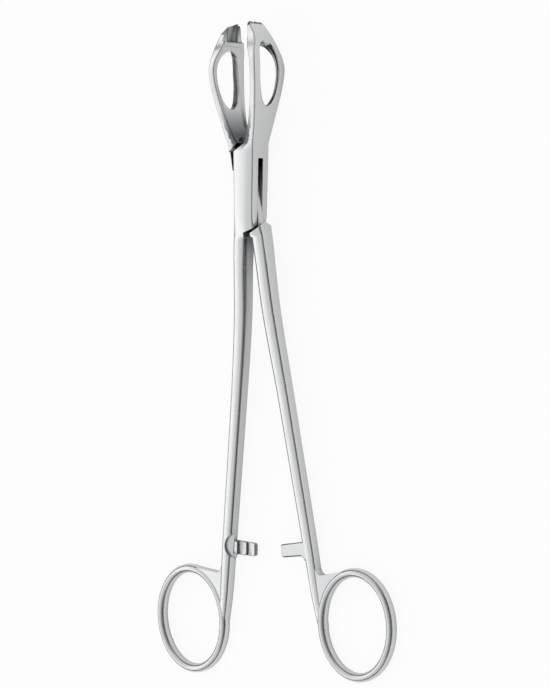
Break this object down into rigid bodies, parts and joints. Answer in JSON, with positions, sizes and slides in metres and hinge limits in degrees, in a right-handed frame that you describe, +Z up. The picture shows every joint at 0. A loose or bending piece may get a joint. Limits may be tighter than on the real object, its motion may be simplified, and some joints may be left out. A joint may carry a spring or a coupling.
{
  "type": "towel forceps",
  "caption": "Long ring-handled surgical forceps with a box lock, ratchet and fenestrated, toothed jaws for gripping towels and drapes.",
  "frame": {"origin": "centre of the lying instrument's footprint, on the surface it rests on", "axes": "+Y towards the jaw tips, +Z up, out of the face that shows the lock pin, +X towards the box lever's jaw"},
  "size_m": [0.086, 0.1881, 0.0142],
  "materials": {
    "box_lever_steel": "satin polished stainless steel",
    "tenon_lever_steel": "satin polished stainless steel",
    "pin_steel": "stainless steel, ground flush"
  },
  "bodies": {
    "box_half": {"box_lever": "box_lever_steel", "lock_pin": "pin_steel"},
    "tenon_half": {"tenon_lever": "tenon_lever_steel"}
  },
  "joints": [
    {"name": "lock_hinge", "type": "hinge", "parent": "box_half", "child": "tenon_half", "pos_m": [-0.0007, 0.04703, 0.00609], "axis": [0, -0.0305, 0.9995], "range_deg": [-9, 26]}
  ]
}
